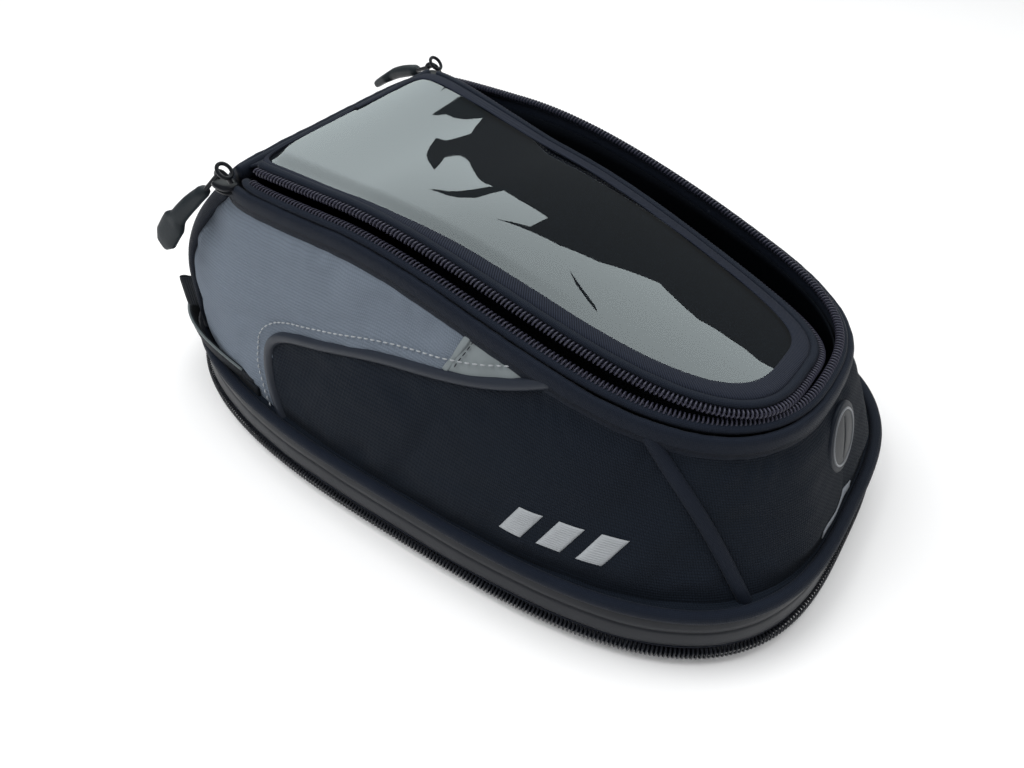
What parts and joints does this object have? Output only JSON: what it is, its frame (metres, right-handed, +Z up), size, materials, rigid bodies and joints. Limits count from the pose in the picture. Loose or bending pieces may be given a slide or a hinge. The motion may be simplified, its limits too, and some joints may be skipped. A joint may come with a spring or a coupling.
{
  "type": "motorcycle tank bag",
  "caption": "Zip-open motorcycle tank bag with a clear map window in its hinged lid, a cable port in the nose and a zip-ringed oval base.",
  "frame": {"origin": "centre of the base outline on the underside", "axes": "+X toward the nose with the cable port, -X toward the lid hinge, +Y the left side, +Z up"},
  "size_m": [0.4163, 0.2458, 0.1515],
  "materials": {
    "black_weave": "coarse woven nylon, matte black",
    "grey_weave": "coarse woven nylon, blue grey",
    "black_binding": "folded black fabric binding",
    "grosgrain": "ribbed grosgrain tape, dark blue grey",
    "zip_tape": "woven zip tape",
    "zip_coil": "nylon coil teeth",
    "trim_rubber": "moulded dark grey rubber trim",
    "smooth_band": "smooth black coated band",
    "leatherette": "smooth light grey leatherette",
    "clear_film": "clear flexible vinyl film",
    "window_back": "black fabric behind the map window",
    "reflective": "silver reflective tape",
    "port_metal": "light grey moulded ring",
    "port_rubber": "dark grey rubber disc",
    "slider_metal": "black enamelled zinc",
    "grip_rubber": "moulded rubber pull",
    "anti_slip": "anti-slip underside sheet",
    "board": "stiffening board",
    "lining": "smooth black lining",
    "thread": "silver grey embroidery thread",
    "webbing": "black webbing"
  },
  "bodies": {
    "bag": {"base_pad": "anti_slip", "base_zip_lower_tape": "zip_tape", "base_zip_upper_tape": "zip_tape", "base_band": "smooth_band", "base_board": "board", "floor_lining": "lining", "base_cover": "black_binding", "base_piping": "smooth_band", "base_zip_coil": "zip_coil", "right_lower_panel": "black_weave", "left_lower_panel": "black_weave", "right_upper_panel": "grey_weave", "left_upper_panel": "grey_weave", "right_patch": "leatherette", "left_patch": "leatherette", "right_trim": "trim_rubber", "left_trim": "trim_rubber", "right_nose_welt": "black_binding", "left_nose_welt": "black_binding", "nose_panel": "black_weave", "rear_panel": "black_weave", "right_corner_seam": "black_binding", "left_corner_seam": "black_binding", "wall_lining": "lining", "rim_roll": "black_binding", "rim_zip_tape": "zip_tape", "rim_zip_coil": "zip_coil", "hinge_binding": "black_binding", "port_ring": "port_metal", "port_disc": "port_rubber", "base_slider": "slider_metal", "right_handle_anchor": "webbing", "left_handle_anchor": "webbing", "right_corner_loop": "webbing", "left_corner_loop": "webbing", "reflective_strip": "reflective", "right_mark": "thread", "left_mark": "thread"},
    "lid": {"lid_panel": "window_back", "map_window": "clear_film", "window_binding": "grosgrain", "lid_zip_tape": "zip_tape", "lid_zip_coil": "zip_coil", "lid_welt": "smooth_band", "hinge_strip": "black_binding"},
    "right_slider_body": {"right_slider": "slider_metal"},
    "left_slider_body": {"left_slider": "slider_metal"},
    "right_pull": {"right_pull_link": "slider_metal", "right_pull_grip": "grip_rubber"},
    "left_pull": {"left_pull_link": "slider_metal", "left_pull_grip": "grip_rubber"},
    "base_pull_body": {"base_pull": "slider_metal"},
    "handle": {"carry_handle": "webbing"}
  },
  "joints": [
    {"name": "lid_hinge", "type": "hinge", "parent": "bag", "child": "lid", "pos_m": [-0.105, 0, 0.1405], "axis": [0, -1, 0], "range_deg": [0, 110]},
    {"name": "right_slider_travel", "type": "slide", "parent": "bag", "child": "right_slider_body", "axis": [1, 0, 0], "range_m": [0, 0.006]},
    {"name": "left_slider_travel", "type": "slide", "parent": "bag", "child": "left_slider_body", "axis": [1, 0, 0], "range_m": [0, 0.006]},
    {"name": "right_pull_swing", "type": "hinge", "parent": "right_slider_body", "child": "right_pull", "pos_m": [-0.1065, -0.0785, 0.1442], "axis": [-0.2756, 0.9613, 0], "range_deg": [0, 75]},
    {"name": "left_pull_swing", "type": "hinge", "parent": "left_slider_body", "child": "left_pull", "pos_m": [-0.1065, 0.0785, 0.1442], "axis": [-0.309, 0.9511, 0], "range_deg": [0, 65]},
    {"name": "base_pull_swing", "type": "hinge", "parent": "bag", "child": "base_pull_body", "pos_m": [-0.1966, 0, 0.0061], "axis": [0, 1, 0], "range_deg": [0, 80]},
    {"name": "handle_swing", "type": "hinge", "parent": "bag", "child": "handle", "pos_m": [-0.092, 0, 0.0408], "axis": [0, 1, 0], "range_deg": [0, 15]}
  ]
}
